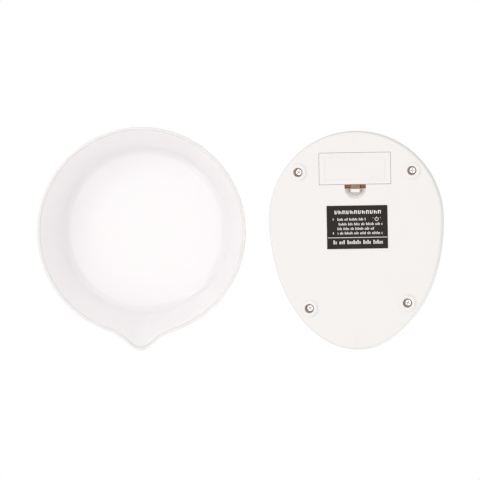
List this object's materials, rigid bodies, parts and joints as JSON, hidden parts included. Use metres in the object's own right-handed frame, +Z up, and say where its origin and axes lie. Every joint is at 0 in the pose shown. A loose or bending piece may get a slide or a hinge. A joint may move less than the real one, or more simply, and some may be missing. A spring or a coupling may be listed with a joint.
{
  "type": "digital kitchen scale with bowl",
  "caption": "Egg-shaped digital kitchen scale standing on its feet, with a round weighing platform, display and buttons, beside its loose pouring bowl lying mouth down.",
  "frame": {"origin": "centre of the set's footprint, on the surface that the scale and the bowl stand on", "axes": "+X from the scale towards the bowl, +Y towards the wide rear end of the scale with the battery bay, +Z up; the display and buttons are at the narrow front end, towards -Y"},
  "size_m": [0.428, 0.238, 0.061],
  "materials": {
    "white_shell": "satin moulded ABS",
    "grey_trim": "satin moulded ABS",
    "bowl_plastic": "glossy translucent polypropylene",
    "zinc_steel": "zinc plated steel",
    "spring_plate": "nickel plated spring steel",
    "aluminium_bar": "machined aluminium",
    "silicone": "matt silicone",
    "black_rubber": "matt rubber",
    "board": "solder-masked glass epoxy",
    "black_epoxy": "cured epoxy",
    "lcd_glass": "liquid crystal glass",
    "clear_window": "clear acrylic",
    "cell_wrap": "shrink-wrapped steel can",
    "red_pvc": "PVC wire jacket",
    "black_pvc": "PVC wire jacket",
    "grey_pvc": "PVC cable jacket",
    "label_print": "printed vinyl"
  },
  "bodies": {
    "housing": {"bottom_cover": "white_shell", "top_cover": "white_shell", "housing_screws": "zinc_steel", "battery_rear": "cell_wrap", "battery_front": "cell_wrap", "battery_link_contact": "spring_plate", "battery_positive_contact": "spring_plate", "battery_negative_contact": "spring_plate", "load_cell": "aluminium_bar", "strain_gauge_seals": "silicone", "load_cell_spacer": "zinc_steel", "load_cell_screws": "zinc_steel", "overload_pads": "black_rubber", "circuit_board": "board", "controller_chip": "black_epoxy", "board_capacitors": "black_epoxy", "board_screws": "zinc_steel", "power_switch": "spring_plate", "unit_switch": "spring_plate", "lcd_frame": "white_shell", "lcd_panel": "lcd_glass", "lcd_connector": "silicone", "display_window": "clear_window", "control_panel": "grey_trim", "battery_wire_red": "red_pvc", "battery_wire_black": "black_pvc", "load_cell_cable": "grey_pvc", "instruction_label": "label_print"},
    "platform": {"platform_spacer": "zinc_steel", "platform_bracket": "white_shell", "platform_screws": "zinc_steel", "weighing_platform": "white_shell"},
    "battery_door": {"battery_cover": "white_shell"},
    "power_key": {"power_button": "grey_trim", "power_plunger": "black_rubber"},
    "unit_key": {"unit_button": "grey_trim", "unit_plunger": "black_rubber"},
    "loose_bowl": {"bowl": "bowl_plastic"}
  },
  "joints": [
    {"name": "platform_sink", "type": "slide", "parent": "housing", "child": "platform", "axis": [0, 0, 1], "range_m": [-0.0006, 0], "stiffness_N_per_m": 20000, "deforming": ["load_cell"]},
    {"name": "battery_cover_hinge", "type": "hinge", "parent": "housing", "child": "battery_door", "pos_m": [-0.122, 0.0882, 0.002], "axis": [1, 0, 0], "range_deg": [0, 60]},
    {"name": "power_button_press", "type": "slide", "parent": "housing", "child": "power_key", "axis": [0, 0, -1], "range_m": [0, 0.0008], "stiffness_N_per_m": 1500},
    {"name": "unit_button_press", "type": "slide", "parent": "housing", "child": "unit_key", "axis": [0, 0, -1], "range_m": [0, 0.0008], "stiffness_N_per_m": 1500},
    {"name": "bowl_turn_over", "type": "hinge", "parent": "housing", "child": "loose_bowl", "pos_m": [-0.009, 0.009, 0.04925], "axis": [0, -1, 0], "range_deg": [0, 180]}
  ]
}
